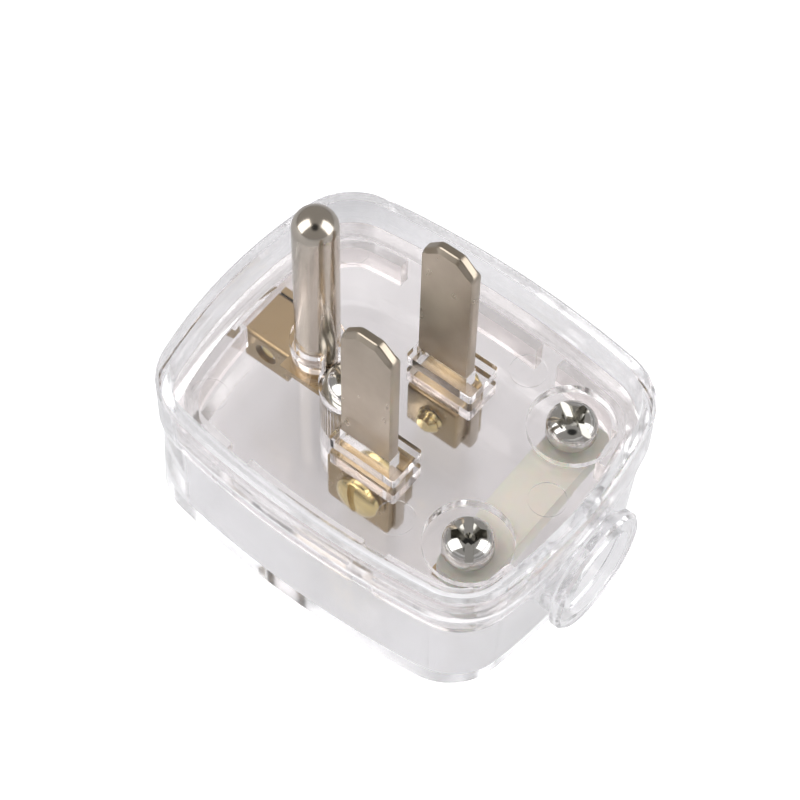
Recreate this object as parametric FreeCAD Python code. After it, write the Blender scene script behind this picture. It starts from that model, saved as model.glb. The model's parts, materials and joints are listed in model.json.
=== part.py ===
import FreeCAD, Part
import math
import os

# Rewireable three-pin plug in clear housing, millimetres.
# +Z points the way the pins point, +Y runs from the cord end to the earth pin,
# and the origin lies on the flat back, under the midpoint between the blades.

os.makedirs("parts", exist_ok=True)
Vec = FreeCAD.Vector
X_AXIS = Vec(1, 0, 0)
Y_AXIS = Vec(0, 1, 0)
Z_AXIS = Vec(0, 0, 1)

# Body outline in plan, at the rim
body_half_width = 18.65
body_earth_end = 23.8
body_cord_end = 23.0
side_bulge = 2.0
end_bulge = 2.5
corner_radius = 7.5

# Heights of the body, from the flat back
face_height = 17.5
rim_stand = 3.4
band_drop = 2.6
back_edge_chamfer = 1.1

# Walls of the cover
rim_wall = 1.4
rim_edge_chamfer = 0.4
band_edge_chamfer = 0.25
shell_step = 0.5
back_inset = 0.5
back_shift = 0.9
shell_inset_inside = 2.7
floor_thickness = 2.0

# Cord collar
collar_drop = 7.3
collar_bore_radius = 5.0
collar_wall = 1.15
collar_reach = 24.8
lip_length = 1.5
lip_height = 0.85
lip_edge_chamfer = 0.35

# Pin plate
plate_gap = 0.2
plate_thickness = 2.4
plate_edge_chamfer = 0.25
skirt_gap = 0.2
skirt_wall = 1.2
skirt_drop = 3.6
skirt_relief = 0.2
notch_width = 2.8
notch_earth_y = 10.4
notch_cord_y = -7.2
cord_gap_width = 15.0
mould_mark_radius = 2.0
mould_mark_depth = 0.12
mould_marks = [(-11.1, -7.1), (11.1, -7.1), (-11.7, 16.7), (11.7, 16.7), (0.0, -17.7)]

# Blades
blade_spacing = 12.7
blade_thickness = 1.5
blade_width = 6.3
blade_reach = 20.4
blade_clip = 1.8
blade_edge_chamfer = 0.25
tang_width = 8.4
tang_drop = 12.4
slot_gap = 0.05
boss_height = 1.4
boss_drop = 1.7
boss_side = 1.6
boss_cord_side = 1.8
boss_earth_side = 0.3
boss_corner_radius = 0.35

# Line and neutral terminals, measured from the plate's top face
terminal_plate_thickness = 0.8
terminal_plate_width = 8.0
terminal_plate_y = 0.2
terminal_plate_top_gap = 0.1
terminal_plate_drop = 12.6
terminal_plate_corner = 0.6
terminal_screw_y = -0.4
terminal_screw_drop = 7.4
terminal_nut_size = 6.6
terminal_nut_thickness = 2.0
contact_gap = 0.02

# Profile of a pan head, as shares of its radius and height
head_rim_share = 0.4
head_crown_reach = 0.66

# Terminal screws
terminal_thread_radius = 1.5
terminal_head_radius = 2.6
terminal_head_height = 1.1
terminal_slot_width = 0.8
terminal_slot_depth = 0.7
terminal_slot_turn = 60
terminal_tail = 1.3
washer_radius = 3.0
washer_thickness = 0.3
screw_clearance = 0.1
thread_clearance = 0.05

# Earth pin
earth_offset = 11.89
earth_radius = 2.4
earth_reach = 23.1
earth_neck_depth = 0.4
earth_neck_above_collar = 0.1
earth_dome_steps = 4
earth_shoulder_radius = 2.75
earth_shoulder_height = 1.0
earth_collar_wall = 0.5
earth_collar_height = 1.4
earth_tail_radius = 1.6
earth_rivet_radius = 2.7
earth_rivet_height = 0.7

# Earth bracket, a folded strip
strip_thickness = 0.8
strip_width = 6.4
strip_start_y = 9.1
strip_end_y = 20.2
jaw_start_y = 14.4
jaw_height = 3.9
jaw_inner_x = -2.0
jaw_outer_x = 4.0
earth_screw_y = 17.4
earth_thread_radius = 1.3
earth_head_radius = 2.2
bend_radius = 0.5

# Cord clamp
clamp_half_pitch = 8.7
clamp_y = -14.4
clamp_bar_half_length = 11.7
clamp_bar_width = 5.6
clamp_bar_thickness = 2.6
clamp_bar_y = -15.0
clamp_bar_gap = 1.0
clamp_bar_corner = 1.2
clamp_rib_height = 0.7
clamp_rib_length = 10.0
clamp_rib_width = 1.0
clamp_rib_pitch = 2.2
counterbore_radius = 4.7
counterbore_depth = 1.4
clamp_head_radius = 2.55
clamp_head_height = 1.9
clamp_thread_radius = 1.4
clamp_screw_length = 7.4
clamp_nut_size = 5.0
clamp_nut_thickness = 2.0
clamp_nut_sink = 0.8
drive_width = 0.7
drive_slot_width = 0.9
drive_depth = 0.8
left_drive_turn = 90
right_drive_turn = 130

# Cover screw
cover_screw_x = -1.2
cover_screw_y = 6.1
recess_radius = 3.7
recess_depth = 1.4
cover_washer_radius = 3.3
cover_washer_thickness = 0.5
cover_head_radius = 2.6
cover_head_height = 1.7
cover_thread_radius = 1.5
cover_screw_length = 9.0
cover_drive_turn = 35
pillar_radius = 3.6
pillar_gap = 0.05
pillar_flat_gap = 0.2
insert_radius = 2.4
insert_length = 6.0
insert_top_cover = 0.4
insert_foot = 1.0

# Levels worked out from the sizes above
rim_top = face_height + rim_stand
band_bottom = face_height - band_drop
plate_bottom = face_height - plate_thickness
ledge_top = plate_bottom - contact_gap
boss_bottom = plate_bottom - boss_drop
skirt_bottom = plate_bottom - skirt_drop
collar_z = face_height - collar_drop
collar_radius = collar_bore_radius + collar_wall
lip_radius = collar_radius + lip_height
blade_centre = blade_spacing / 2
earth_shoulder_bottom = plate_bottom - earth_shoulder_height
strip_top = earth_shoulder_bottom
strip_bottom = strip_top - strip_thickness
jaw_bottom = strip_bottom - jaw_height
earth_screw_z = (strip_top + jaw_bottom) / 2
rivet_bottom = strip_bottom - earth_rivet_height
clamp_bar_top = plate_bottom - clamp_bar_gap
clamp_bar_bottom = clamp_bar_top - clamp_bar_thickness
terminal_screw_z = face_height - terminal_screw_drop


def corner_edges(solid):
    """The four upright edges of a prism."""
    found = []
    for edge in solid.Edges:
        start = edge.Vertexes[0].Point
        end = edge.Vertexes[-1].Point
        if abs(start.x - end.x) < 0.001 and abs(start.y - end.y) < 0.001:
            found.append(edge)
    return found


def bulge_radius(half_chord, bulge):
    """The radius of an arc that rises by bulge over a chord."""
    return (half_chord ** 2 + bulge ** 2) / (2 * bulge)


def corner_centre(side_centre, side_reach, end_centre, end_reach, sign):
    """Where two circles meet in the quarter with X above zero, on one side of their line."""
    line = end_centre - side_centre
    gap = line.Length
    along = (gap ** 2 + side_reach ** 2 - end_reach ** 2) / (2 * gap)
    aside = math.sqrt(side_reach ** 2 - along ** 2)
    unit = line / gap
    across_unit = Vec(-unit.y, unit.x, 0)
    return side_centre + unit * along + across_unit * aside * sign


def outline_arcs():
    """Centre, radius and start and end directions of the eight tangent arcs of the plan outline."""
    middle_y = (body_earth_end - body_cord_end) / 2
    half_length = (body_earth_end + body_cord_end) / 2 - end_bulge
    side_radius = bulge_radius(half_length, side_bulge)
    end_radius = bulge_radius(body_half_width - side_bulge, end_bulge)
    side = Vec(body_half_width - side_radius, middle_y, 0)
    earth = Vec(0, body_earth_end - end_radius, 0)
    cord = Vec(0, end_radius - body_cord_end, 0)
    side_reach = side_radius - corner_radius
    end_reach = end_radius - corner_radius
    earth_corner = corner_centre(side, side_reach, earth, end_reach, 1)
    cord_corner = corner_centre(side, side_reach, cord, end_reach, -1)
    return [
        (side, side_radius, cord_corner - side, earth_corner - side),
        (earth_corner, corner_radius, earth_corner - side, earth_corner - earth),
        (earth, end_radius, earth_corner - earth, opposite(earth_corner - earth)),
        (
            opposite(earth_corner), corner_radius,
            opposite(earth_corner - earth), opposite(earth_corner - side),
        ),
        (opposite(side), side_radius, opposite(earth_corner - side), opposite(cord_corner - side)),
        (opposite(cord_corner), corner_radius, opposite(cord_corner - side), opposite(cord_corner - cord)),
        (cord, end_radius, opposite(cord_corner - cord), cord_corner - cord),
        (cord_corner, corner_radius, cord_corner - cord, cord_corner - side),
    ]


def opposite(point):
    """The point mirrored to the other side of the plug."""
    return Vec(-point.x, point.y, point.z)


def outline_wire(inset, level):
    """The body outline at a level, moved in by inset."""
    edges = []
    lift = Vec(0, 0, level)
    for centre, radius, start, end in outline_arcs():
        reach = radius - inset
        first = start / start.Length
        last = end / end.Length
        middle = (first + last) / (first + last).Length
        points = [centre + lift + direction * reach for direction in (first, middle, last)]
        edges.append(Part.Arc(*points).toShape())
    return Part.Wire(edges)


def outline_prism(inset, bottom, top):
    """The body outline, moved in by inset, as an upright prism."""
    return Part.Face(outline_wire(inset, bottom)).extrude(Vec(0, 0, top - bottom))


def level_edges(solid, level):
    """All edges of a solid that lie at a level."""
    found = []
    for edge in solid.Edges:
        box = edge.BoundBox
        if abs(box.ZMin - level) < 0.001 and abs(box.ZMax - level) < 0.001:
            found.append(edge)
    return found


def cover_shell():
    """The lower cover: the outline lofted from the band to the back, which stands nearer the earth end."""
    back = outline_wire(back_inset, 0)
    back.translate(Vec(0, back_shift, 0))
    return Part.makeLoft([back, outline_wire(shell_step, band_bottom)], True, True)


def box(x0, x1, y0, y1, z0, z1):
    """A box from its lowest to its highest corner."""
    return Part.makeBox(x1 - x0, y1 - y0, z1 - z0, Vec(x0, y0, z0))


def upright(radius, bottom, top, x=0.0, y=0.0):
    """A cylinder along Z between two levels."""
    return Part.makeCylinder(radius, top - bottom, Vec(x, y, bottom), Z_AXIS)


def across(radius, x0, x1, y, z):
    """A cylinder along X between two places."""
    return Part.makeCylinder(radius, x1 - x0, Vec(x0, y, z), X_AXIS)


def mirrored(shape, side):
    """The shape as modelled at +X, or its mirror image at -X."""
    if side > 0:
        return shape
    return shape.mirror(Vec(0, 0, 0), X_AXIS)


def pan_head(radius, height):
    """A pan head on Z, its seat at zero: a short rim and a sloped shoulder."""
    profile = [
        Vec(0, 0, 0),
        Vec(radius, 0, 0),
        Vec(radius, 0, height * head_rim_share),
        Vec(radius * head_crown_reach, 0, height),
        Vec(0, 0, height),
    ]
    return Part.Face(Part.makePolygon(profile + [profile[0]])).revolve(Vec(0, 0, 0), Z_AXIS, 360)


def slotted_screw(head_radius, head_height, thread_radius, length, slots):
    """A pan-head screw on Z: head above zero, shank below, one cut per slot angle."""
    screw = pan_head(head_radius, head_height)
    screw = screw.fuse(upright(thread_radius, -length, 0))
    for angle, width, depth in slots:
        cut = box(-head_radius, head_radius, -width / 2, width / 2, head_height - depth, head_height + 1)
        cut.rotate(Vec(0, 0, 0), Z_AXIS, angle)
        screw = screw.cut(cut)
    return screw.removeSplitter()


def sideways(shape, direction, x, y, z):
    """Turns a shape from Z to point along X one way or the other, and moves it."""
    turned = shape.copy()
    turned.rotate(Vec(0, 0, 0), Y_AXIS, 90 * direction)
    turned.translate(Vec(x, y, z))
    return turned


def rear_cover():
    """One moulded cup: shell, stepped rim band, cord collar and screw pillar."""
    shell = cover_shell()
    shell = shell.makeChamfer(back_edge_chamfer, level_edges(shell, 0))
    band = outline_prism(0, band_bottom, rim_top)
    band = band.makeChamfer(rim_edge_chamfer, level_edges(band, rim_top))
    band = band.makeChamfer(band_edge_chamfer, level_edges(band, band_bottom))
    tube_start = -body_cord_end + shell_inset_inside
    tube = Part.makeCylinder(collar_radius, collar_reach + tube_start, Vec(0, tube_start, collar_z), -Y_AXIS)
    lip = Part.makeCylinder(lip_radius, lip_length, Vec(0, -collar_reach + lip_length, collar_z), -Y_AXIS)
    lip = lip.makeChamfer(lip_edge_chamfer, [edge for edge in lip.Edges if edge.Closed])
    body = shell.fuse(band).fuse(tube).fuse(lip)
    body = body.cut(outline_prism(rim_wall, ledge_top, rim_top + 1))
    body = body.cut(outline_prism(shell_inset_inside, floor_thickness, ledge_top + 1))
    bore = Part.makeCylinder(collar_bore_radius, collar_reach, Vec(0, 0, collar_z), -Y_AXIS)
    bore.translate(-Y_AXIS)
    near_wall = box(-collar_radius, collar_radius, -collar_reach - 1, tube_start + 1, 0, ledge_top)
    body = body.cut(bore.common(near_wall))
    pillar_top = plate_bottom - pillar_gap
    pillar = upright(pillar_radius, floor_thickness, pillar_top, cover_screw_x, cover_screw_y)
    flat_y = strip_start_y - pillar_flat_gap
    flat_bottom = rivet_bottom - pillar_flat_gap
    side = pillar_radius + abs(cover_screw_x)
    pillar = pillar.cut(box(-side, side, flat_y, body_earth_end, flat_bottom, face_height))
    body = body.fuse(pillar)
    insert_top = pillar_top - insert_top_cover
    insert_bottom = insert_top - insert_length
    hole = upright(insert_radius, insert_bottom, insert_top, cover_screw_x, cover_screw_y)
    screw_hole_bottom = insert_bottom - insert_foot - cover_screw_length + insert_length
    mouth = upright(
        cover_thread_radius + screw_clearance, screw_hole_bottom, pillar_top, cover_screw_x, cover_screw_y
    )
    return body.cut(hole).cut(mouth).removeSplitter()


def blade_slot(side):
    """The hole through the plate for one blade."""
    half_thickness = blade_thickness / 2 + slot_gap
    half_width = blade_width / 2 + slot_gap
    centre = side * blade_centre
    return box(
        centre - half_thickness, centre + half_thickness,
        -half_width, half_width, boss_bottom - 1, face_height + boss_height + 1,
    )


def blade_boss(side):
    """The block round the foot of one blade, standing out on both sides of the plate."""
    half = blade_thickness / 2 + boss_side
    centre = side * blade_centre
    block = box(
        centre - half, centre + half,
        -blade_width / 2 - boss_cord_side, blade_width / 2 + boss_earth_side,
        boss_bottom, face_height + boss_height,
    )
    return block.makeFillet(boss_corner_radius, corner_edges(block))


def plate_skirt():
    """The wall that hangs from the plate inside the cover, with its notches."""
    outer = shell_inset_inside + skirt_gap
    skirt = outline_prism(outer, skirt_bottom, plate_bottom)
    skirt = skirt.cut(outline_prism(outer + skirt_wall, skirt_bottom - 1, plate_bottom + 1))
    for y in (notch_earth_y, notch_cord_y):
        half = notch_width / 2
        notch = box(-body_half_width, body_half_width, y - half, y + half, skirt_bottom - 1, plate_bottom)
        skirt = skirt.cut(notch)
    half = cord_gap_width / 2
    skirt = skirt.cut(box(-half, half, -body_cord_end, 0, skirt_bottom - 1, plate_bottom))
    bar_x = clamp_bar_half_length + skirt_relief
    bar_y = clamp_bar_width / 2 + skirt_relief
    skirt = skirt.cut(
        box(-bar_x, bar_x, clamp_bar_y - bar_y, clamp_bar_y + bar_y, skirt_bottom - 1, plate_bottom)
    )
    earth_low_x = jaw_inner_x - skirt_relief
    earth_high_x = earth_screw_seat()[3] + terminal_head_height + skirt_relief
    earth_high_y = strip_end_y + skirt_relief
    return skirt.cut(
        box(earth_low_x, earth_high_x, jaw_start_y, earth_high_y, skirt_bottom - 1, plate_bottom)
    )


def pin_plate():
    """The face plate that holds the pins, terminals and screws."""
    plate = outline_prism(rim_wall + plate_gap, plate_bottom, face_height)
    plate = plate.makeChamfer(plate_edge_chamfer, level_edges(plate, face_height))
    plate = plate.fuse(plate_skirt())
    for side in (-1, 1):
        plate = plate.fuse(blade_boss(side))
    pin_hole_radius = earth_radius + slot_gap
    collar_top = face_height + earth_collar_height
    collar_outer = pin_hole_radius + earth_collar_wall
    plate = plate.fuse(upright(collar_outer, plate_bottom, collar_top, 0, earth_offset))
    for side in (-1, 1):
        plate = plate.cut(blade_slot(side))
        x = side * clamp_half_pitch
        seat = face_height - counterbore_depth
        shank_radius = clamp_thread_radius + screw_clearance
        plate = plate.cut(upright(counterbore_radius, seat, face_height + 1, x, clamp_y))
        plate = plate.cut(upright(shank_radius, plate_bottom - 1, face_height, x, clamp_y))
    for x, y in mould_marks:
        plate = plate.cut(upright(mould_mark_radius, face_height - mould_mark_depth, face_height + 1, x, y))
    plate = plate.cut(upright(pin_hole_radius, plate_bottom - 1, collar_top + 1, 0, earth_offset))
    recess_floor = face_height - recess_depth
    recess_top = face_height + boss_height + 1
    plate = plate.cut(upright(recess_radius, recess_floor, recess_top, cover_screw_x, cover_screw_y))
    hole_radius = cover_thread_radius + screw_clearance
    plate = plate.cut(upright(hole_radius, plate_bottom - 1, face_height, cover_screw_x, cover_screw_y))
    return plate.removeSplitter()


def earth_pin():
    """A round pin with a domed end, a shoulder under the plate and a riveted tail."""
    top = face_height + earth_reach
    neck_top = face_height + earth_collar_height + earth_neck_above_collar
    pin = upright(earth_radius - earth_neck_depth, plate_bottom, neck_top, 0, earth_offset)
    profile = [Vec(0, 0, neck_top), Vec(earth_radius, 0, neck_top)]
    for step in range(earth_dome_steps + 1):
        angle = math.pi / 2 * step / earth_dome_steps
        reach = earth_radius * math.cos(angle)
        profile.append(Vec(reach, 0, top - earth_radius + earth_radius * math.sin(angle)))
    profile[-1] = Vec(0, 0, top)
    body = Part.Face(Part.makePolygon(profile + [profile[0]])).revolve(Vec(0, 0, 0), Z_AXIS, 360)
    body.translate(Vec(0, earth_offset, 0))
    pin = pin.fuse(body)
    pin = pin.fuse(upright(earth_shoulder_radius, earth_shoulder_bottom, plate_bottom, 0, earth_offset))
    pin = pin.fuse(upright(earth_tail_radius, strip_bottom, earth_shoulder_bottom, 0, earth_offset))
    rivet = upright(earth_rivet_radius, rivet_bottom, strip_bottom, 0, earth_offset)
    return pin.fuse(rivet).removeSplitter()


def blade(side):
    """A flat blade with clipped tips, standing on a wider terminal tang."""
    half = blade_width / 2
    tip = face_height + blade_reach
    tang_half = tang_width / 2
    foot = face_height - tang_drop
    points = [
        Vec(0, -tang_half, foot),
        Vec(0, tang_half, foot),
        Vec(0, tang_half, boss_bottom),
        Vec(0, half, boss_bottom),
        Vec(0, half, tip - blade_clip),
        Vec(0, half - blade_clip, tip),
        Vec(0, -half + blade_clip, tip),
        Vec(0, -half, tip - blade_clip),
        Vec(0, -half, boss_bottom),
        Vec(0, -tang_half, boss_bottom),
    ]
    face = Part.Face(Part.makePolygon(points + [points[0]]))
    solid = face.extrude(Vec(blade_thickness, 0, 0))
    solid.translate(Vec(-blade_thickness / 2, 0, 0))
    tip_edges = []
    for edge in solid.Edges:
        along_face = abs(edge.BoundBox.XMax - edge.BoundBox.XMin) < 0.001
        if along_face and edge.BoundBox.ZMax > tip - blade_clip + 0.01:
            tip_edges.append(edge)
    solid = solid.makeChamfer(blade_edge_chamfer, tip_edges)
    solid.translate(Vec(side * blade_centre, 0, 0))
    hole = across(
        terminal_thread_radius + thread_clearance, -body_half_width, body_half_width,
        terminal_screw_y, terminal_screw_z,
    )
    return solid.cut(hole)


def terminal_stack(side):
    """Places along X of the pieces on one blade terminal, from the tang outwards."""
    tang_face = blade_centre + blade_thickness / 2
    plate_in = tang_face + contact_gap
    plate_out = plate_in + terminal_plate_thickness
    washer_in = plate_out + contact_gap
    washer_out = washer_in + washer_thickness
    head_seat = washer_out + contact_gap
    nut_out = blade_centre - blade_thickness / 2 - contact_gap
    nut_in = nut_out - terminal_nut_thickness
    return plate_in, plate_out, washer_in, washer_out, head_seat, nut_in, nut_out


def clamp_plate(side):
    """The brass plate that presses the wire against the tang."""
    plate_in, plate_out = terminal_stack(side)[0:2]
    half = terminal_plate_width / 2
    top = boss_bottom - terminal_plate_top_gap
    low_y = terminal_plate_y - half
    high_y = terminal_plate_y + half
    plate = box(plate_in, plate_out, low_y, high_y, face_height - terminal_plate_drop, top)
    plate_corners = [edge for edge in plate.Edges if abs(edge.Length - terminal_plate_thickness) < 0.001]
    plate = plate.makeFillet(terminal_plate_corner, plate_corners)
    hole_radius = terminal_thread_radius + screw_clearance
    hole = across(hole_radius, plate_in - 1, plate_out + 1, terminal_screw_y, terminal_screw_z)
    return mirrored(plate.cut(hole), side)


def washer(inner, outer, start, y, z):
    """A flat washer on an axis along X."""
    end = start + washer_thickness
    return across(outer, start, end, y, z).cut(across(inner, start - 1, end + 1, y, z))


def terminal_washer(side):
    """The washer under the screw head of one blade terminal."""
    start = terminal_stack(side)[2]
    inner = terminal_thread_radius + screw_clearance
    ring = washer(inner, washer_radius, start, terminal_screw_y, terminal_screw_z)
    return mirrored(ring, side)


def terminal_nut(side):
    """The square nut behind the tang."""
    nut_in, nut_out = terminal_stack(side)[5:7]
    half = terminal_nut_size / 2
    y = terminal_screw_y
    z = terminal_screw_z
    nut = box(nut_in, nut_out, y - half, y + half, z - half, z + half)
    nut = nut.cut(across(terminal_thread_radius + thread_clearance, nut_in - 1, nut_out + 1, y, z))
    return mirrored(nut, side)


def terminal_screw(side):
    """The slotted brass screw of one blade terminal."""
    stack = terminal_stack(side)
    head_seat = stack[4]
    length = head_seat - stack[5] + terminal_tail
    slots = [(terminal_slot_turn, terminal_slot_width, terminal_slot_depth)]
    screw = slotted_screw(terminal_head_radius, terminal_head_height, terminal_thread_radius, length, slots)
    return sideways(screw, side, side * head_seat, terminal_screw_y, terminal_screw_z)


def earth_terminal():
    """A folded brass strip: a tongue under the pin and two jaws bent down."""
    half = strip_width / 2
    tongue = box(-half, half, strip_start_y, jaw_start_y, strip_bottom, strip_top)
    bridge = box(jaw_inner_x, jaw_outer_x, jaw_start_y, strip_end_y, strip_bottom, strip_top)
    left_x = jaw_inner_x + strip_thickness
    right_x = jaw_outer_x - strip_thickness
    left_jaw = box(jaw_inner_x, left_x, jaw_start_y, strip_end_y, jaw_bottom, strip_top)
    right_jaw = box(right_x, jaw_outer_x, jaw_start_y, strip_end_y, jaw_bottom, strip_top)
    strip = tongue.fuse(bridge).fuse(left_jaw).fuse(right_jaw).removeSplitter()
    bends = []
    for edge in level_edges(strip, strip_top):
        bounds = edge.BoundBox
        along_jaw = bounds.XLength < 0.001 and bounds.YMin > jaw_start_y - 0.001
        at_side = min(abs(bounds.XMin - jaw_inner_x), abs(bounds.XMin - jaw_outer_x)) < 0.001
        if along_jaw and at_side:
            bends.append(edge)
    strip = strip.makeFillet(bend_radius, bends)
    tail_hole_radius = earth_tail_radius + thread_clearance
    strip = strip.cut(upright(tail_hole_radius, strip_bottom - 1, strip_top + 1, 0, earth_offset))
    thread_radius = earth_thread_radius + thread_clearance
    thread = across(thread_radius, jaw_inner_x - 1, jaw_outer_x + 1, earth_screw_y, earth_screw_z)
    return strip.cut(thread)


def earth_screw_seat():
    """Places along X of the earth screw's clamp plate, washer and head."""
    plate_in = jaw_outer_x + contact_gap
    plate_out = plate_in + terminal_plate_thickness
    washer_in = plate_out + contact_gap
    head_seat = washer_in + washer_thickness + contact_gap
    return plate_in, plate_out, washer_in, head_seat


def earth_clamp_plate():
    """The brass plate under the earth screw head."""
    plate_in, plate_out = earth_screw_seat()[0:2]
    plate = box(plate_in, plate_out, jaw_start_y, strip_end_y, jaw_bottom, strip_top)
    hole_radius = earth_thread_radius + screw_clearance
    hole = across(hole_radius, plate_in - 1, plate_out + 1, earth_screw_y, earth_screw_z)
    return plate.cut(hole)


def earth_washer():
    """The washer under the earth screw head."""
    start = earth_screw_seat()[2]
    inner = earth_thread_radius + screw_clearance
    return washer(inner, earth_head_radius, start, earth_screw_y, earth_screw_z)


def earth_screw():
    """The slotted brass screw of the earth terminal."""
    head_seat = earth_screw_seat()[3]
    length = head_seat - jaw_inner_x - strip_thickness / 2
    slots = [(terminal_slot_turn, terminal_slot_width, terminal_slot_depth)]
    screw = slotted_screw(earth_head_radius, terminal_head_height, earth_thread_radius, length, slots)
    return sideways(screw, 1, head_seat, earth_screw_y, earth_screw_z)


def clamp_nut_bottom():
    """Level of the underside of the clamp nuts."""
    return clamp_bar_bottom + clamp_nut_sink - clamp_nut_thickness


def cord_clamp_bar():
    """The ivory bar, with grip ribs towards the cord and pockets for the nuts."""
    half_width = clamp_bar_width / 2
    bar = box(
        -clamp_bar_half_length, clamp_bar_half_length,
        clamp_bar_y - half_width, clamp_bar_y + half_width, clamp_bar_bottom, clamp_bar_top,
    )
    bar = bar.makeFillet(clamp_bar_corner, corner_edges(bar))
    half_rib = clamp_rib_length / 2
    for index in (-1, 0, 1):
        y = clamp_bar_y + index * clamp_rib_pitch
        half = clamp_rib_width / 2
        rib_bottom = clamp_bar_bottom - clamp_rib_height
        bar = bar.fuse(box(-half_rib, half_rib, y - half, y + half, rib_bottom, clamp_bar_bottom))
    half_nut = clamp_nut_size / 2 + slot_gap
    pocket_top = clamp_bar_bottom + clamp_nut_sink + contact_gap
    hole_radius = clamp_thread_radius + screw_clearance
    for side in (-1, 1):
        x = side * clamp_half_pitch
        low_y = clamp_y - half_nut
        high_y = clamp_y + half_nut
        bar = bar.cut(box(x - half_nut, x + half_nut, low_y, high_y, clamp_bar_bottom - 1, pocket_top))
        bar = bar.cut(upright(hole_radius, clamp_bar_bottom - 1, clamp_bar_top + 1, x, clamp_y))
    return bar


def clamp_nut(side):
    """A square brass nut in the underside of the bar."""
    x = side * clamp_half_pitch
    half = clamp_nut_size / 2
    bottom = clamp_nut_bottom()
    top = bottom + clamp_nut_thickness
    nut = box(x - half, x + half, clamp_y - half, clamp_y + half, bottom, top)
    return nut.cut(upright(clamp_thread_radius + thread_clearance, bottom - 1, top + 1, x, clamp_y))


def clamp_screw(side):
    """A plated screw with a combined slot and cross."""
    turn = left_drive_turn if side < 0 else right_drive_turn
    slots = [(turn, drive_slot_width, drive_depth), (turn + 90, drive_width, drive_depth)]
    length = clamp_screw_length
    screw = slotted_screw(clamp_head_radius, clamp_head_height, clamp_thread_radius, length, slots)
    screw.translate(Vec(side * clamp_half_pitch, clamp_y, face_height - counterbore_depth))
    return screw


def cover_washer():
    """The flat washer under the cover screw head."""
    bottom = face_height - recess_depth
    top = bottom + cover_washer_thickness
    ring = upright(cover_washer_radius, bottom, top, cover_screw_x, cover_screw_y)
    hole_radius = cover_thread_radius + screw_clearance
    return ring.cut(upright(hole_radius, bottom - 1, top + 1, cover_screw_x, cover_screw_y))


def cover_screw():
    """The plated screw that holds the cover to the plate."""
    turn = cover_drive_turn
    slots = [(turn, drive_slot_width, drive_depth), (turn + 90, drive_width, drive_depth)]
    length = cover_screw_length
    screw = slotted_screw(cover_head_radius, cover_head_height, cover_thread_radius, length, slots)
    seat = face_height - recess_depth + cover_washer_thickness
    screw.translate(Vec(cover_screw_x, cover_screw_y, seat))
    return screw


def cover_nut():
    """The round brass insert in the pillar of the cover."""
    top = plate_bottom - pillar_gap - insert_top_cover
    bottom = top - insert_length
    bore_radius = cover_thread_radius + thread_clearance
    insert = upright(insert_radius, bottom, top, cover_screw_x, cover_screw_y)
    return insert.cut(upright(bore_radius, bottom - 1, top + 1, cover_screw_x, cover_screw_y))


parts = {
    "rear_cover": rear_cover(),
    "pin_plate": pin_plate(),
    "earth_pin": earth_pin(),
    "live_blade": blade(-1),
    "neutral_blade": blade(1),
    "live_clamp_plate": clamp_plate(-1),
    "neutral_clamp_plate": clamp_plate(1),
    "live_washer": terminal_washer(-1),
    "neutral_washer": terminal_washer(1),
    "live_terminal_screw": terminal_screw(-1),
    "neutral_terminal_screw": terminal_screw(1),
    "live_terminal_nut": terminal_nut(-1),
    "neutral_terminal_nut": terminal_nut(1),
    "earth_terminal": earth_terminal(),
    "earth_clamp_plate": earth_clamp_plate(),
    "earth_washer": earth_washer(),
    "earth_terminal_screw": earth_screw(),
    "cord_clamp_bar": cord_clamp_bar(),
    "clamp_screw_left": clamp_screw(-1),
    "clamp_screw_right": clamp_screw(1),
    "clamp_nut_left": clamp_nut(-1),
    "clamp_nut_right": clamp_nut(1),
    "cover_screw": cover_screw(),
    "cover_screw_washer": cover_washer(),
    "cover_screw_nut": cover_nut(),
}

for name, shape in parts.items():
    shape.exportStep("parts/" + name + ".step")
    print(name, shape.isValid(), len(shape.Solids), round(shape.Volume, 2))
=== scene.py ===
import json
import math

import bpy
import bmesh
from mathutils import Matrix, Vector


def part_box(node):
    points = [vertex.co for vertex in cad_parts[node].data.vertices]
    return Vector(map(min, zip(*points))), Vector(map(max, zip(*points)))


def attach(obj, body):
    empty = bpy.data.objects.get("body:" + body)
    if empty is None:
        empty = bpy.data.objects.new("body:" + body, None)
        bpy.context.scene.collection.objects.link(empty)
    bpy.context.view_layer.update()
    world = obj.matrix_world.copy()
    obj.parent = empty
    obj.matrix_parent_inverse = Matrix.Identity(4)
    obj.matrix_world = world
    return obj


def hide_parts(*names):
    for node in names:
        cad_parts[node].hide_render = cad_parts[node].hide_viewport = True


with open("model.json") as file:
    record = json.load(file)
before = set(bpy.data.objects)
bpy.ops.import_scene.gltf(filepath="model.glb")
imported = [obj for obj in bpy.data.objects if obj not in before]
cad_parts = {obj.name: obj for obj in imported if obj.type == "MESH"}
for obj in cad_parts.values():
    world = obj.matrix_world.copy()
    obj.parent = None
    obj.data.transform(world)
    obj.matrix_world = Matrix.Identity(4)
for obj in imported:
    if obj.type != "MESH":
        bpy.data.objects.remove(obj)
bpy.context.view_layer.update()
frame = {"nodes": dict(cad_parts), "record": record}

MM = 0.001

# Camera, found by fitting the pins and the plate in the picture
VIEW_AZIMUTH = -143.03
VIEW_ELEVATION = 58.01
VIEW_ROLL = -1.42
VIEW_DISTANCE = 0.27239
VIEW_OFFSET_X = 0.001464
VIEW_OFFSET_Y = -0.0007
LENS = 119.92
SENSOR = 36.0
SHIFT_X = 0.0078
SHIFT_Y = -0.0015

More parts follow.
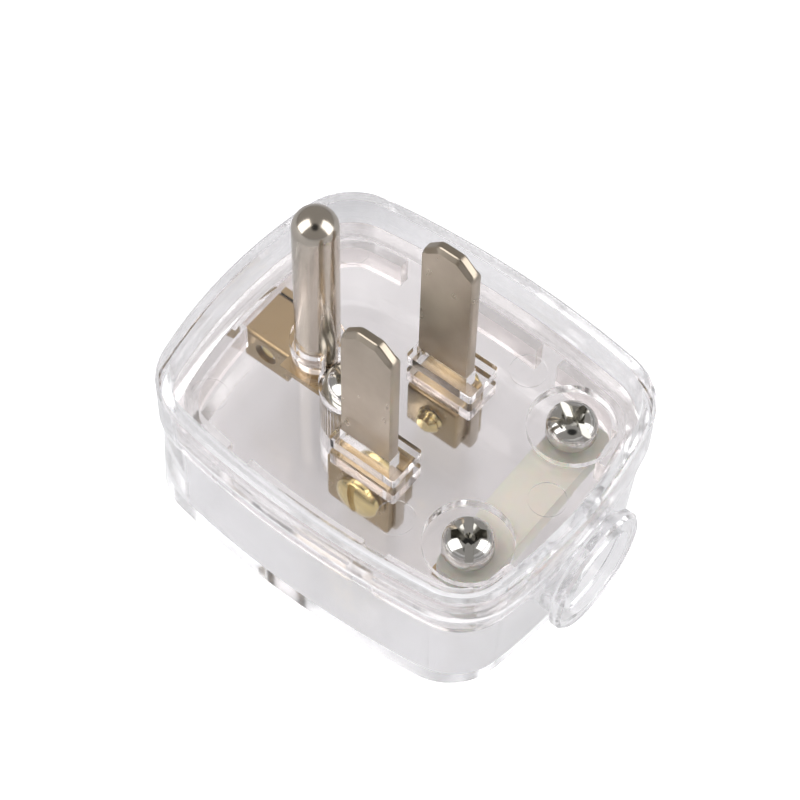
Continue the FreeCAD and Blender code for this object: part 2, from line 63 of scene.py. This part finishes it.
# Earth pin, from its riveted tail up to the foot of its plain wall
PIN_RADIUS = 2.4 * MM
PIN_FOOT = 19.0 * MM
PIN_EDGE = 0.05 * MM
PIN_LEVELS = [
    (2.5 * MM, 12.6 * MM), (2.7 * MM, 12.8 * MM), (2.7 * MM, 13.3 * MM), (1.6 * MM, 13.3 * MM),
    (1.6 * MM, 14.1 * MM), (2.75 * MM, 14.1 * MM), (2.75 * MM, 15.08 * MM), (2.38 * MM, 15.08 * MM),
    (2.38 * MM, PIN_FOOT),
]
DOME_STEPS = 20
PIN_STEPS = 96

# Blades
BLADE_HALF = 3.15 * MM
TANG_TOP = 13.38 * MM
TIP_CLIP = 1.8 * MM
TIP_ROUND = 0.5 * MM
TIP_STEPS = 6
TIP_FADE = 0.6
LEAST_STRETCH = 0.5
# Inset at the tip, inset at the sides, and share of the half thickness
TIP_BEVEL = [(0.62 * MM, 0.10 * MM, 1.0), (0.08 * MM, 0.02 * MM, 0.60), (0.0, 0.0, 0.42)]

# Threads and nuts
THREAD_PITCH = 0.7 * MM
THREAD_DEPTH = 0.28 * MM
THREAD_RINGS = 6
THREAD_STEPS = 32
THREAD_START = 0.6
THREAD_END = 0.4
SHANK_TAPER = 0.75
SEAT_GAP = 0.02 * MM
NUT_EDGE = 0.3 * MM
NUT_EDGE_STEPS = 3
BORE_STEPS = 48

# Plated screws: radius, foot and height of the head, and radius of the shank
CLAMP_SCREW = (2.7 * MM, 16.1 * MM, 3.1 * MM, 1.5 * MM)
COVER_SCREW = (2.75 * MM, 16.6 * MM, 2.1 * MM, 1.5 * MM)

# Brass terminal screws
TERMINAL_SHANK = 1.5 * MM
EARTH_SHANK = 1.3 * MM
TERMINAL_HEAD_HEIGHT = 1.5 * MM
TERMINAL_HEAD_RISE = 0.4 * MM

# Turns of the screw heads, in degrees, as the photo shows them
CLAMP_TURNS = {"clamp_screw_left": 38, "clamp_screw_right": 74}
COVER_TURN = 50
LIVE_TURN = 10
NEUTRAL_TURN = 60
EARTH_TURN = 30

# Shape of a domed head, as shares of its radius or height
HEAD_STEPS = 72
HEAD_DOME_STEPS = 15
HEAD_FOOT_EASE = 0.97
HEAD_FOOT_HEIGHT = 0.95
HEAD_DOME_FOOT = 0.62
HEAD_DOME_POWER = 0.8
SLOT_REACH = 1.2
SLOT_HALF = (0.165, 0.185)
SLOT_DEPTH = 0.45
CROSS_FOOT = (0.15, 0.26)
CROSS_MOUTH = (0.20, 0.90)
CROSS_SPAN = (-0.80, 0.25)
HOLLOW_HALF = (0.10, 0.52)
HOLLOW_SPAN = (-0.72, 0.12)
HOLLOW_TURN = 45
SHANK_TOP = 0.9

# Angles above which an edge stays sharp, in degrees
SHARP_ANGLE = 40
BLADE_SHARP_ANGLE = 24
SCREW_SHARP_ANGLE = 30
NUT_SHARP_ANGLE = 50

SLOTS = {row["node"]: row["material_slot"] for row in frame["record"]["subparts"]}

# Colours, linear
PLATE_TINT = (0.92, 0.888, 0.88, 1)
COVER_TINT = (0.965, 0.96, 0.97, 1)
NICKEL = (0.38, 0.32, 0.25, 1)
NICKEL_LIGHT = (0.58, 0.515, 0.43, 1)
PIN_NICKEL = (0.54, 0.485, 0.415, 1)
PIN_LIGHT = (0.66, 0.60, 0.525, 1)
CHROME = (0.62, 0.61, 0.58, 1)
CHROME_LIGHT = (0.72, 0.71, 0.68, 1)
BRASS = (0.32, 0.235, 0.125, 1)
BRASS_LIGHT = (0.37, 0.28, 0.155, 1)
SCREW_BRASS = (0.56, 0.45, 0.20, 1)
SCREW_BRASS_LIGHT = (0.68, 0.56, 0.28, 1)
IVORY = (0.97, 0.965, 0.86, 1)
FLOOR_WHITE = (0.88, 0.88, 0.88, 1)
FLOOR_GREY = (0.60, 0.60, 0.61, 1)
FLOOR_SIZE = 6
FLOOR_DROP = 0.02 * MM
FLOOR_ROUGHNESS = 0.9
FLOOR_GLOW = 0.68
# Painted light: near the object the floor glows for every ray but the camera's, lifting the object's
# shadow seen through the clear plastic and lighting the object a little from below; the glow fades out
# over the distances given below, in metres.
FLOOR_PAINTED_GLOW_NEAR = 0.42
FLOOR_PAINTED_GLOW_FAR = 0.0
FLOOR_PAINTED_GLOW_FADE = (0.027, 0.045)
SKY_SOFT = (0.45, 0.45, 0.46, 1)
SKY_THROUGH = (1.40, 1.40, 1.42, 1)
SKY_LOW = (0.35, 0.345, 0.345, 1)
SKY_RISE = (0.10, 0.70)
SKY_GLOSS = (0.34, 0.33, 0.32, 1)
SKY_DARK = (0.03, 0.03, 0.03, 1)
# Where the sky is dark for gloss, as if someone stood there
DARK_PATCH = (-0.4233, -0.3186, 0.848)
DARK_PATCH_EDGE = (0.93, 0.98)

# Clear plastic
PLASTIC_IOR = 1.49
PLASTIC_ROUGHNESS = 0.07
WAVE_SCALE = 90
WAVE_STRENGTH = 0.06
WAVE_DEPTH = 0.4 * MM
CLOUD_SCALE = 400
CLOUD_RANGE = (0.5, 1.6)

# Finish of each metal: roughness, stretch of the grain and strength of the bump
BLADE_FINISH = (0.31, (1, 1, 0.6), 0.012)
PIN_FINISH = (0.19, (1, 1, 0.1), 0.04)
SCREW_FINISH = (0.12, (1, 1, 1), 0.05)
BRASS_FINISH = (0.30, (1, 1, 1), 0.006)
MOTTLE_SCALE = 220
GRAIN_SCALE = 600
GRAIN_RANGE = (0.88, 1.15)
GRAIN_DEPTH = 0.1 * MM

# Ivory plastic
IVORY_SHADE = (0.93, 0.93, 0.91)
IVORY_MOTTLE_SCALE = 260
IVORY_ROUGHNESS = 0.42
IVORY_DEPTH = 2.0 * MM
IVORY_WEIGHT = 0.3
IVORY_GRAIN_SCALE = 2500
IVORY_GRAIN_STRENGTH = 0.08
IVORY_GRAIN_DEPTH = 0.05 * MM

# Range of the noise that is brought between two values
NOISE_RANGE = (0.3, 0.7)

# Height that the camera aims at, and how near and far it sees
TARGET_HEIGHT = 17.5 * MM
CLIP_RANGE = (0.01, 20)

# Lamps: place, size and watts
LAMP_TARGET = (0, 0, 0.01)
LAMPS = {
    "right": ((0.175, -0.395, 0.235), (0.34, 0.60), 1.5),
    "left": ((-0.312, 0.260, 0.306), (0.34, 0.60), 1.5),
}

# Light paths, enough to pass through both clear shells
MOST_BOUNCES = 40
GLOSSY_BOUNCES = 32
DIFFUSE_BOUNCES = 4
INDIRECT_CLAMP = 8.0
BLUR_GLOSSY = 0.5


def camera_axes():
    """Right, up and back directions of the camera."""
    azimuth = math.radians(VIEW_AZIMUTH)
    elevation = math.radians(VIEW_ELEVATION)
    roll = math.radians(VIEW_ROLL)
    back = Vector((
        math.cos(elevation) * math.cos(azimuth),
        math.cos(elevation) * math.sin(azimuth),
        math.sin(elevation),
    ))
    level_right = Vector((0, 0, 1)).cross(back).normalized()
    level_up = back.cross(level_right)
    right = math.cos(roll) * level_right - math.sin(roll) * level_up
    up = math.sin(roll) * level_right + math.cos(roll) * level_up
    return right, up, back


def make_camera(target_height):
    """The camera at the picture's viewing angle."""
    right, up, back = camera_axes()
    place = back * VIEW_DISTANCE - right * VIEW_OFFSET_X - up * VIEW_OFFSET_Y
    place.z += target_height
    data = bpy.data.cameras.new("camera")
    data.lens = LENS
    data.sensor_width = SENSOR
    data.shift_x = SHIFT_X
    data.shift_y = SHIFT_Y
    data.clip_start, data.clip_end = CLIP_RANGE
    camera = bpy.data.objects.new("camera", data)
    bpy.context.scene.collection.objects.link(camera)
    matrix = Matrix((right, up, back)).transposed().to_4x4()
    matrix.translation = place
    camera.matrix_world = matrix
    bpy.context.scene.camera = camera


def new_material(name):
    """A material with its Principled shader and node tree."""
    material = bpy.data.materials.new(name)
    material.use_nodes = True
    tree = material.node_tree
    shader = tree.nodes["Principled BSDF"]
    return material, tree, shader


def noise(tree, scale, detail=3.0, stretch=(1, 1, 1)):
    """Object-space noise, stretched along the axes."""
    coords = tree.nodes.new("ShaderNodeTexCoord")
    mapping = tree.nodes.new("ShaderNodeMapping")
    mapping.inputs["Scale"].default_value = stretch
    texture = tree.nodes.new("ShaderNodeTexNoise")
    texture.inputs["Scale"].default_value = scale
    texture.inputs["Detail"].default_value = detail
    tree.links.new(coords.outputs["Object"], mapping.inputs["Vector"])
    tree.links.new(mapping.outputs["Vector"], texture.inputs["Vector"])
    return texture.outputs["Fac"]


def mix_colours(tree, factor, first, second):
    """A blend of two colours by a factor."""
    mix = tree.nodes.new("ShaderNodeMix")
    mix.data_type = "RGBA"
    mix.inputs["A"].default_value = first
    mix.inputs["B"].default_value = second
    tree.links.new(factor, mix.inputs["Factor"])
    return mix.outputs["Result"]


def remap(tree, value, low, high):
    """A value from 0 to 1 brought between low and high."""
    node = tree.nodes.new("ShaderNodeMapRange")
    node.inputs["From Min"].default_value = NOISE_RANGE[0]
    node.inputs["From Max"].default_value = NOISE_RANGE[1]
    node.inputs["To Min"].default_value = low
    node.inputs["To Max"].default_value = high
    tree.links.new(value, node.inputs["Value"])
    return node.outputs["Result"]


def add_bump(tree, shader, height, strength, distance):
    """A bump on the shader's normal."""
    bump = tree.nodes.new("ShaderNodeBump")
    bump.inputs["Strength"].default_value = strength
    bump.inputs["Distance"].default_value = distance
    tree.links.new(height, bump.inputs["Height"])
    tree.links.new(bump.outputs["Normal"], shader.inputs["Normal"])


def clear_plastic(name, tint):
    """Moulded clear plastic, with a faint waviness."""
    material, tree, shader = new_material(name)
    shader.inputs["Transmission Weight"].default_value = 1.0
    shader.inputs["IOR"].default_value = PLASTIC_IOR
    shader.inputs["Base Color"].default_value = tint
    wave = noise(tree, WAVE_SCALE, 2.0)
    low, high = (PLASTIC_ROUGHNESS * share for share in CLOUD_RANGE)
    cloud = remap(tree, noise(tree, CLOUD_SCALE), low, high)
    tree.links.new(cloud, shader.inputs["Roughness"])
    add_bump(tree, shader, wave, WAVE_STRENGTH, WAVE_DEPTH)
    return material


def metal(name, dark, light, roughness, grain, bump):
    """Metal with mottled colour and fine grain."""
    material, tree, shader = new_material(name)
    shader.inputs["Metallic"].default_value = 1.0
    mottle = noise(tree, MOTTLE_SCALE, 4.0)
    fine = noise(tree, GRAIN_SCALE, 2.0, grain)
    tree.links.new(mix_colours(tree, mottle, dark, light), shader.inputs["Base Color"])
    low, high = (roughness * share for share in GRAIN_RANGE)
    tree.links.new(remap(tree, fine, low, high), shader.inputs["Roughness"])
    add_bump(tree, shader, fine, bump, GRAIN_DEPTH)
    return material


def ivory_plastic(name):
    """Satin moulded plastic."""
    material, tree, shader = new_material(name)
    shade = tuple(value * share for value, share in zip(IVORY, IVORY_SHADE)) + (1,)
    mottle = mix_colours(tree, noise(tree, IVORY_MOTTLE_SCALE), shade, IVORY)
    tree.links.new(mottle, shader.inputs["Base Color"])
    shader.inputs["Roughness"].default_value = IVORY_ROUGHNESS
    shader.inputs["Subsurface Weight"].default_value = IVORY_WEIGHT
    shader.inputs["Subsurface Scale"].default_value = IVORY_DEPTH
    grain = noise(tree, IVORY_GRAIN_SCALE, 2.0)
    add_bump(tree, shader, grain, IVORY_GRAIN_STRENGTH, IVORY_GRAIN_DEPTH)
    return material


def make_materials():
    """One material for each slot, and two for single nodes."""
    by_slot = {
        "clear_plastic": clear_plastic("cover_clear", COVER_TINT),
        "plated_pins": metal("blade_nickel", NICKEL, NICKEL_LIGHT, *BLADE_FINISH),
        "plated_screws": metal("screw_plate", CHROME, CHROME_LIGHT, *SCREW_FINISH),
        "brass": metal("brass", BRASS, BRASS_LIGHT, *BRASS_FINISH),
        "ivory_plastic": ivory_plastic("ivory"),
    }
    by_name = {
        "pin_plate": clear_plastic("plate_clear", PLATE_TINT),
        "earth_pin": metal("pin_nickel", PIN_NICKEL, PIN_LIGHT, *PIN_FINISH),
    }
    return {node: by_name.get(node) or by_slot[SLOTS[node]] for node in SLOTS}


def dress_nodes(materials):
    """Every carried-over node gets its material."""
    for name, node in frame["nodes"].items():
        node.data.materials.clear()
        node.data.materials.append(materials[name])


def mesh_object(name, bm, smooth_angle=SHARP_ANGLE):
    """An object from a bmesh, smooth apart from its sharp edges."""
    bmesh.ops.recalc_face_normals(bm, faces=bm.faces)
    mesh = bpy.data.meshes.new(name)
    bm.to_mesh(mesh)
    bm.free()
    mesh.shade_smooth()
    mesh.set_sharp_from_angle(angle=math.radians(smooth_angle))
    piece = bpy.data.objects.new(name, mesh)
    bpy.context.scene.collection.objects.link(piece)
    return piece


def stand_for(piece, node, materials):
    """The piece takes the place of a CAD node."""
    piece.data.materials.clear()
    piece.data.materials.append(materials[node])
    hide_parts(node)
    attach(piece, "root")


def spin(bm, angle, axis):
    """The whole shape turned about an axis through the origin, by an angle in degrees."""
    matrix = Matrix.Rotation(math.radians(angle), 3, axis)
    bmesh.ops.rotate(bm, verts=bm.verts, cent=(0, 0, 0), matrix=matrix)


def join_rings(bm, rings):
    """Faces between rings of points; a ring of one point closes an end."""
    for lower, upper in zip(rings, rings[1:]):
        count = max(len(lower), len(upper))
        for step in range(count):
            after = (step + 1) % count
            corners = [
                lower[step % len(lower)],
                lower[after % len(lower)],
                upper[after % len(upper)],
                upper[step % len(upper)],
            ]
            bm.faces.new(list(dict.fromkeys(corners)))


def turned_ring(bm, radius, height, steps):
    """One ring of points round the z axis; radius may be a function of the angle."""
    if radius == 0:
        return [bm.verts.new((0, 0, height))]
    ring = []
    for step in range(steps):
        angle = 2 * math.pi * step / steps
        reach = radius(angle) if callable(radius) else radius
        ring.append(bm.verts.new((reach * math.cos(angle), reach * math.sin(angle), height)))
    return ring


def turned(bm, profile, steps):
    """A turned shape from pairs of radius and height."""
    join_rings(bm, [turned_ring(bm, radius, height, steps) for radius, height in profile])


def make_earth_pin(materials):
    """The earth pin, turned, with a full round end."""
    low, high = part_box("earth_pin")
    top = high[2]
    radius = PIN_RADIUS
    profile = [(0, low[2])]
    for reach, height in PIN_LEVELS:
        profile.append((reach, height))
    profile.append((radius - PIN_EDGE, PIN_FOOT))
    profile.append((radius, PIN_FOOT + PIN_EDGE))
    for step in range(DOME_STEPS):
        angle = math.pi / 2 * step / DOME_STEPS
        profile.append((radius * math.cos(angle), top - radius + radius * math.sin(angle)))
    profile.append((0, top))
    bm = bmesh.new()
    turned(bm, profile, PIN_STEPS)
    centre = ((low[0] + high[0]) / 2, (low[1] + high[1]) / 2, 0)
    bmesh.ops.translate(bm, verts=bm.verts, vec=centre)
    stand_for(mesh_object("earth_pin_polished", bm), "earth_pin", materials)


def blade_outline(half, tang_half, foot, tang_top, top):
    """The blade's outline: wide tang, plain sides and a clipped tip with rounded corners."""
    points = [
        (-tang_half, foot), (tang_half, foot), (tang_half, tang_top), (half, tang_top),
    ]
    corners = [
        (half, top - TIP_CLIP), (half - TIP_CLIP, top), (TIP_CLIP - half, top), (-half, top - TIP_CLIP),
    ]
    befores = [(half, tang_top), corners[0], corners[1], corners[2]]
    afters = [corners[1], corners[2], corners[3], (-half, tang_top)]
    for before, corner, after in zip(befores, corners, afters):
        here = Vector(corner)
        start = here + (Vector(before) - here).normalized() * TIP_ROUND
        end = here + (Vector(after) - here).normalized() * TIP_ROUND
        for step in range(TIP_STEPS + 1):
            share = step / TIP_STEPS
            point = (1 - share) ** 2 * start + 2 * share * (1 - share) * here + share ** 2 * end
            points.append((point.x, point.y))
    points += [(-half, tang_top), (-tang_half, tang_top)]
    return points


def inset_outline(points, tip_start, amount, side_amount):
    """The outline moved inwards, more at the tip than at the sides."""
    count = len(points)
    moved = []
    for index, point in enumerate(points):
        before = Vector(points[index - 1])
        here = Vector(point)
        after = Vector(points[(index + 1) % count])
        first = (here - before).normalized()
        second = (after - here).normalized()
        normal = Vector((-first.y - second.y, first.x + second.x))
        normal.normalize()
        stretch = 1 / max(LEAST_STRETCH, math.sqrt(max(0.0, (1 + first.dot(second)) / 2)))
        rise = min(1.0, max(0.0, (here.y - tip_start) / (TIP_CLIP * TIP_FADE)))
        moved.append(here + normal * stretch * (side_amount + (amount - side_amount) * rise))
    return moved


def make_blade(node, materials):
    """A flat blade with a bevelled, rounded tip."""
    low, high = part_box(node)
    middle = (low[0] + high[0]) / 2
    thick = (high[0] - low[0]) / 2
    outline = blade_outline(BLADE_HALF, (high[1] - low[1]) / 2, low[2], TANG_TOP, high[2])
    tip_start = high[2] - TIP_CLIP - TIP_ROUND
    layers = []
    for inset, side_inset, half_thick in TIP_BEVEL:
        flat = inset_outline(outline, tip_start, inset, side_inset)
        layers.append((half_thick * thick, flat))
    bm = bmesh.new()
    rings = []
    for depth, flat in layers:
        rings.append([bm.verts.new((middle - depth, point[0], point[1])) for point in flat])
    for depth, flat in reversed(layers):
        rings.append([bm.verts.new((middle + depth, point[0], point[1])) for point in flat])
    join_rings(bm, rings)
    bm.faces.new(rings[0])
    bm.faces.new(list(reversed(rings[-1])))
    stand_for(mesh_object(node + "_bevelled", bm, BLADE_SHARP_ANGLE), node, materials)


def block(bm, bottom_half, bottom, top_half, top):
    """A block or frustum from two level rectangles."""
    signs = [(-1, -1), (1, -1), (1, 1), (-1, 1)]
    lower = [bm.verts.new((bottom_half[0] * x, bottom_half[1] * y, bottom)) for x, y in signs]
    upper = [bm.verts.new((top_half[0] * x, top_half[1] * y, top)) for x, y in signs]
    join_rings(bm, [lower, upper])
    bm.faces.new(list(reversed(lower)))
    bm.faces.new(upper)


def cut_by(piece, cutters):
    """The piece with the cutters' shapes taken out."""
    for cutter in cutters:
        step = piece.modifiers.new("cut", "BOOLEAN")
        step.operation = "DIFFERENCE"
        step.solver = "EXACT"
        step.object = cutter
    bpy.context.view_layer.update()
    graph = bpy.context.evaluated_depsgraph_get()
    mesh = bpy.data.meshes.new_from_object(piece.evaluated_get(graph))
    for thing in [piece] + cutters:
        bpy.data.objects.remove(thing)
    bm = bmesh.new()
    bm.from_mesh(mesh)
    bpy.data.meshes.remove(mesh)
    return bm


def head_profile(radius, height):
    """A domed head's outline, as pairs of radius and height, with its top at z = 0."""
    dome_foot = -height * HEAD_DOME_FOOT
    profile = [
        (0, -height),
        (radius * HEAD_FOOT_EASE, -height),
        (radius, -height * HEAD_FOOT_HEIGHT),
        (radius, dome_foot),
    ]
    for step in range(1, HEAD_DOME_STEPS):
        angle = math.pi / 2 * step / HEAD_DOME_STEPS
        profile.append((radius * math.cos(angle) ** HEAD_DOME_POWER, dome_foot * (1 - math.sin(angle))))
    profile.append((0, 0))
    return profile


def slot_cutter(radius, height):
    """The straight slot across a head."""
    bm = bmesh.new()
    foot_half = (radius * SLOT_REACH, radius * SLOT_HALF[0])
    mouth_half = (radius * SLOT_REACH, radius * SLOT_HALF[1])
    block(bm, foot_half, -height * SLOT_DEPTH, mouth_half, height)
    return mesh_object("cutter", bm)


def cross_cutters(radius, height):
    """The tapered arm that makes the slot a cross, and the hollow at its middle."""
    arm = bmesh.new()
    foot_half = [radius * share for share in CROSS_FOOT]
    mouth_half = [radius * share for share in CROSS_MOUTH]
    foot, mouth = (height * share for share in CROSS_SPAN)
    block(arm, foot_half, foot, mouth_half, mouth)
    hollow = bmesh.new()
    foot_reach, mouth_reach = (radius * share for share in HOLLOW_HALF)
    foot, mouth = (height * share for share in HOLLOW_SPAN)
    block(hollow, (foot_reach, foot_reach), foot, (mouth_reach, mouth_reach), mouth)
    spin(hollow, HOLLOW_TURN, "Z")
    return [mesh_object("cutter", bm) for bm in (arm, hollow)]


def pan_head(radius, height, crossed):
    """A domed head with a slot across it, and a tapered cross if it has one, top at z = 0."""
    bm = bmesh.new()
    turned(bm, head_profile(radius, height), HEAD_STEPS)
    head = mesh_object("head", bm)
    cutters = [slot_cutter(radius, height)]
    if crossed:
        cutters += cross_cutters(radius, height)
    return cut_by(head, cutters)


def threaded_shank(bm, radius, top, bottom):
    """A shank with a helical thread, down to a short chamfered end."""
    rise = THREAD_PITCH / THREAD_RINGS

    def thread(height):
        return lambda angle: radius - THREAD_DEPTH * abs(
            2 * ((height / THREAD_PITCH - angle / (2 * math.pi)) % 1) - 1
        )

    core = radius - THREAD_DEPTH
    rings = [(0, top), (core, top)]
    height = top - rise
    while height > bottom + THREAD_PITCH * THREAD_START:
        rings.append((thread(height), height))
        height -= rise
    rings += [(core, bottom + THREAD_PITCH * THREAD_END), (core * SHANK_TAPER, bottom), (0, bottom)]
    turned(bm, rings, THREAD_STEPS)


def make_plated_screw(node, turn, sizes, materials):
    """A plated pan-head screw with a thread, upright on its seat."""
    radius, foot, head_height, shank_radius = sizes
    low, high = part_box(node)
    bm = pan_head(radius, head_height, True)
    top = foot + SEAT_GAP + head_height
    threaded_shank(bm, shank_radius, -head_height * SHANK_TOP, low[2] - top)
    spin(bm, turn, "Z")
    centre = ((low[0] + high[0]) / 2, (low[1] + high[1]) / 2, top)
    bmesh.ops.translate(bm, verts=bm.verts, vec=centre)
    stand_for(mesh_object(node + "_cross_head", bm, SCREW_SHARP_ANGLE), node, materials)


def make_brass_screw(node, side, turn, shank_radius, material):
    """A slotted brass terminal screw, lying with its head towards one side."""
    low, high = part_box(node)
    radius = (high[2] - low[2]) / 2
    bm = pan_head(radius, TERMINAL_HEAD_HEIGHT, False)
    length = high[0] - low[0] + TERMINAL_HEAD_RISE
    threaded_shank(bm, shank_radius, -TERMINAL_HEAD_HEIGHT * SHANK_TOP, -length)
    spin(bm, turn, "Z")
    spin(bm, 90 * side, "Y")
    end = high[0] + TERMINAL_HEAD_RISE if side > 0 else low[0] - TERMINAL_HEAD_RISE
    centre = (end, (low[1] + high[1]) / 2, (low[2] + high[2]) / 2)
    bmesh.ops.translate(bm, verts=bm.verts, vec=centre)
    stand_for(mesh_object(node + "_slotted", bm, SCREW_SHARP_ANGLE), node, {node: material})


def make_square_nut(node, materials):
    """A square nut with eased edges and its bore, just clear of the plate above it."""
    low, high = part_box(node)
    half = ((high[0] - low[0]) / 2, (high[1] - low[1]) / 2)
    centre = (Vector(low) + Vector(high)) / 2
    bm = bmesh.new()
    block(bm, half, low[2], half, high[2] - SEAT_GAP)
    bmesh.ops.translate(bm, verts=bm.verts, vec=(centre.x, centre.y, 0))
    bmesh.ops.bevel(
        bm, geom=bm.edges, offset=NUT_EDGE, segments=NUT_EDGE_STEPS, affect="EDGES", profile=0.5
    )
    body = mesh_object("nut", bm, NUT_SHARP_ANGLE)
    bore = bmesh.new()
    reach = high[0] - low[0]
    size = TERMINAL_SHANK + SEAT_GAP
    turned(bore, [(0, -reach), (size, -reach), (size, reach), (0, reach)], BORE_STEPS)
    spin(bore, 90, "Y")
    bmesh.ops.translate(bore, verts=bore.verts, vec=centre)
    bored = cut_by(body, [mesh_object("cutter", bore)])
    stand_for(mesh_object(node + "_square", bored, NUT_SHARP_ANGLE), node, materials)


def make_floor():
    """A plain pale floor that keeps the object's shadow for the camera, and for other rays a painted
    glow near the object that lifts that shadow under the clear plastic.
    """
    bpy.ops.mesh.primitive_plane_add(size=FLOOR_SIZE, location=(0, 0, -FLOOR_DROP))
    floor = bpy.context.object
    floor.name = "floor"
    material, tree, shader = new_material("floor")
    shader.inputs["Roughness"].default_value = FLOOR_ROUGHNESS
    shader.inputs["Specular IOR Level"].default_value = 0.0
    coords = tree.nodes.new("ShaderNodeTexCoord")
    reach = tree.nodes.new("ShaderNodeVectorMath")
    reach.operation = "LENGTH"
    tree.links.new(coords.outputs["Object"], reach.inputs[0])
    # Painted light: the glow near the object, for every ray but the camera's, fading with distance.
    painted_glow = tree.nodes.new("ShaderNodeMapRange")
    painted_glow.interpolation_type = "SMOOTHSTEP"
    painted_glow.inputs["From Min"].default_value = FLOOR_PAINTED_GLOW_FADE[0]
    painted_glow.inputs["From Max"].default_value = FLOOR_PAINTED_GLOW_FADE[1]
    painted_glow.inputs["To Min"].default_value = FLOOR_PAINTED_GLOW_NEAR
    painted_glow.inputs["To Max"].default_value = FLOOR_PAINTED_GLOW_FAR
    tree.links.new(reach.outputs["Value"], painted_glow.inputs["Value"])
    paths = tree.nodes.new("ShaderNodeLightPath")
    paper = mix_colours(tree, paths.outputs["Is Camera Ray"], FLOOR_GREY, FLOOR_WHITE)
    tree.links.new(paper, shader.inputs["Base Color"])
    lift = tree.nodes.new("ShaderNodeMix")
    lift.data_type = "FLOAT"
    lift.inputs["B"].default_value = FLOOR_GLOW
    tree.links.new(painted_glow.outputs["Result"], lift.inputs["A"])
    tree.links.new(paths.outputs["Is Camera Ray"], lift.inputs["Factor"])
    shader.inputs["Emission Color"].default_value = (1, 1, 1, 1)
    tree.links.new(lift.outputs["Result"], shader.inputs["Emission Strength"])
    floor.data.materials.append(material)


def area_light(name, place, size, power):
    """A soft oblong lamp aimed at the object."""
    data = bpy.data.lights.new(name, "AREA")
    data.shape = "RECTANGLE"
    data.size, data.size_y = size
    data.energy = power
    lamp = bpy.data.objects.new(name, data)
    lamp.location = place
    direction = Vector(LAMP_TARGET) - Vector(place)
    lamp.rotation_euler = direction.to_track_quat("-Z", "Y").to_euler()
    bpy.context.scene.collection.objects.link(lamp)


def make_world():
    """Even light, with a grey sky for gloss and, for clear plastic, one that is dark low down."""
    world = bpy.data.worlds.new("world")
    bpy.context.scene.world = world
    world.use_nodes = True
    tree = world.node_tree
    background = tree.nodes["Background"]
    coords = tree.nodes.new("ShaderNodeTexCoord")
    nearness = tree.nodes.new("ShaderNodeVectorMath")
    nearness.operation = "DOT_PRODUCT"
    nearness.inputs[1].default_value = DARK_PATCH
    tree.links.new(coords.outputs["Generated"], nearness.inputs[0])
    patch = tree.nodes.new("ShaderNodeMapRange")
    patch.interpolation_type = "SMOOTHSTEP"
    patch.inputs["From Min"].default_value = DARK_PATCH_EDGE[0]
    patch.inputs["From Max"].default_value = DARK_PATCH_EDGE[1]
    tree.links.new(nearness.outputs["Value"], patch.inputs["Value"])
    gloss = mix_colours(tree, patch.outputs["Result"], SKY_GLOSS, SKY_DARK)
    paths = tree.nodes.new("ShaderNodeLightPath")
    reflected = tree.nodes.new("ShaderNodeMix")
    reflected.data_type = "RGBA"
    reflected.inputs["A"].default_value = SKY_SOFT
    tree.links.new(gloss, reflected.inputs["B"])
    tree.links.new(paths.outputs["Is Glossy Ray"], reflected.inputs["Factor"])
    axes = tree.nodes.new("ShaderNodeSeparateXYZ")
    tree.links.new(coords.outputs["Generated"], axes.inputs["Vector"])
    rise = tree.nodes.new("ShaderNodeMapRange")
    rise.interpolation_type = "SMOOTHSTEP"
    rise.inputs["From Min"].default_value = SKY_RISE[0]
    rise.inputs["From Max"].default_value = SKY_RISE[1]
    tree.links.new(axes.outputs["Z"], rise.inputs["Value"])
    through = tree.nodes.new("ShaderNodeMix")
    through.data_type = "RGBA"
    lit_above = mix_colours(tree, rise.outputs["Result"], SKY_LOW, SKY_THROUGH)
    tree.links.new(lit_above, through.inputs["B"])
    tree.links.new(reflected.outputs["Result"], through.inputs["A"])
    tree.links.new(paths.outputs["Is Transmission Ray"], through.inputs["Factor"])
    tree.links.new(through.outputs["Result"], background.inputs["Color"])


def set_light_paths():
    """Enough bounces for light to pass through both clear shells."""
    cycles = bpy.context.scene.cycles
    cycles.max_bounces = MOST_BOUNCES
    cycles.transmission_bounces = MOST_BOUNCES
    cycles.glossy_bounces = GLOSSY_BOUNCES
    cycles.diffuse_bounces = DIFFUSE_BOUNCES
    cycles.sample_clamp_indirect = INDIRECT_CLAMP
    cycles.caustics_refractive = True
    cycles.caustics_reflective = True
    cycles.blur_glossy = BLUR_GLOSSY


materials = make_materials()
dress_nodes(materials)
make_earth_pin(materials)
make_blade("live_blade", materials)
make_blade("neutral_blade", materials)
for node, turn in CLAMP_TURNS.items():
    make_plated_screw(node, turn, CLAMP_SCREW, materials)
make_plated_screw("cover_screw", COVER_TURN, COVER_SCREW, materials)
yellow_brass = metal("screw_brass", SCREW_BRASS, SCREW_BRASS_LIGHT, *SCREW_FINISH)
make_brass_screw("live_terminal_screw", -1, LIVE_TURN, TERMINAL_SHANK, yellow_brass)
make_brass_screw("neutral_terminal_screw", 1, NEUTRAL_TURN, TERMINAL_SHANK, yellow_brass)
for node in ("live_terminal_nut", "neutral_terminal_nut"):
    make_square_nut(node, materials)
make_brass_screw("earth_terminal_screw", 1, EARTH_TURN, EARTH_SHANK, yellow_brass)
make_floor()
make_world()
for name, (place, size, power) in LAMPS.items():
    area_light(name, place, size, power)
make_camera(TARGET_HEIGHT)
set_light_paths()
bpy.context.scene.view_settings.view_transform = "Standard"
